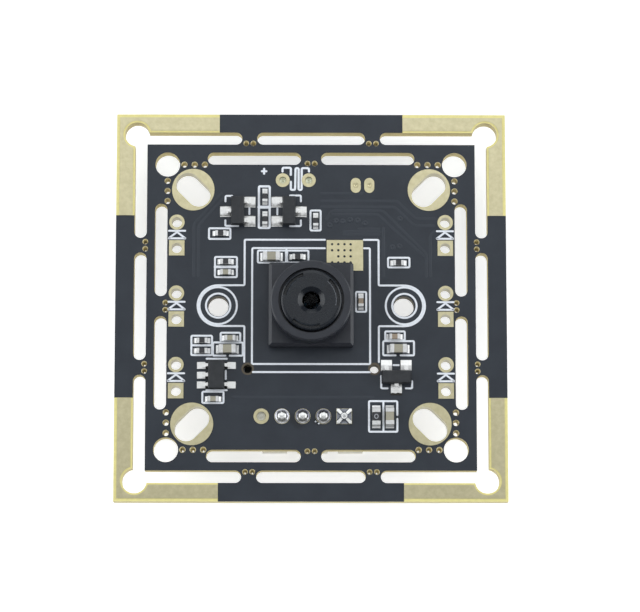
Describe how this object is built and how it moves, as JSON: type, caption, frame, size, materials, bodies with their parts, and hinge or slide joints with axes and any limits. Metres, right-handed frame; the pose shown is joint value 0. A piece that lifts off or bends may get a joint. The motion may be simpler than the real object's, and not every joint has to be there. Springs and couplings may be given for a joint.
{
  "type": "board camera module",
  "caption": "Square break-off circuit board camera with a small threaded lens in a square holder, lamp and microphone pads, chip parts and a shrouded pin header on the rear",
  "frame": {"origin": "centre of the board's front face, on the lens axis and in the middle of the four corner screw holes of the middle ring", "axes": "+Z leaves the front face along the lens axis, +X to the right and +Y to the edge away from the header, seen from the front"},
  "size_m": [0.038, 0.038, 0.0116],
  "materials": {
    "laminate": "satin solder mask over glass laminate",
    "plating": "matt immersion gold",
    "chip_resistor": "matt, bright metal ends",
    "chip_capacitor": "satin, bright metal ends",
    "moulding": "matt moulded package, tinned leads",
    "solder": "bright",
    "lens_black": "satin",
    "lens_glass": "polished, coated",
    "filter_glass": "polished",
    "sensor": "gloss",
    "housing": "semi-gloss",
    "pin_metal": "tinned",
    "crystal_case": "satin"
  },
  "bodies": {
    "root": {"circuit_board": "laminate", "corner_copper_1": "plating", "corner_copper_2": "plating", "corner_copper_3": "plating", "corner_copper_4": "plating", "slot_ring_1": "plating", "slot_ring_2": "plating", "slot_ring_3": "plating", "slot_ring_4": "plating", "ground_pad": "plating", "lamp_pads": "plating", "microphone_pads": "plating", "spare_pads": "plating", "header_pads": "plating", "resistor_1": "chip_resistor", "resistor_2": "chip_resistor", "resistor_3": "chip_resistor", "resistor_4": "chip_resistor", "resistor_5": "chip_resistor", "resistor_6": "chip_resistor", "resistor_7": "chip_resistor", "resistor_8": "chip_resistor", "resistor_9": "chip_resistor", "resistor_10": "chip_resistor", "capacitor_1": "chip_capacitor", "capacitor_2": "chip_capacitor", "capacitor_3": "chip_capacitor", "capacitor_4": "chip_capacitor", "capacitor_5": "chip_capacitor", "capacitor_6": "chip_capacitor", "capacitor_7": "chip_capacitor", "capacitor_8": "chip_capacitor", "capacitor_9": "chip_capacitor", "transistor_1": "moulding", "transistor_2": "moulding", "transistor_3": "moulding", "regulator": "moulding", "solder_joint_1": "solder", "solder_joint_2": "solder", "solder_joint_3": "solder", "solder_joint_4": "solder", "lens_holder": "lens_black", "lens_barrel": "lens_black", "front_lens": "lens_glass", "lens_spacer": "lens_black", "rear_lens": "lens_glass", "infrared_filter": "filter_glass", "image_sensor": "sensor", "header_housing": "housing", "header_pin_1": "pin_metal", "header_pin_2": "pin_metal", "header_pin_3": "pin_metal", "header_pin_4": "pin_metal", "usb_controller": "moulding", "flash_memory": "moulding", "crystal": "crystal_case", "rear_capacitor_1": "chip_capacitor", "rear_capacitor_2": "chip_capacitor", "rear_capacitor_3": "chip_capacitor", "rear_capacitor_4": "chip_capacitor"}
  },
  "joints": []
}
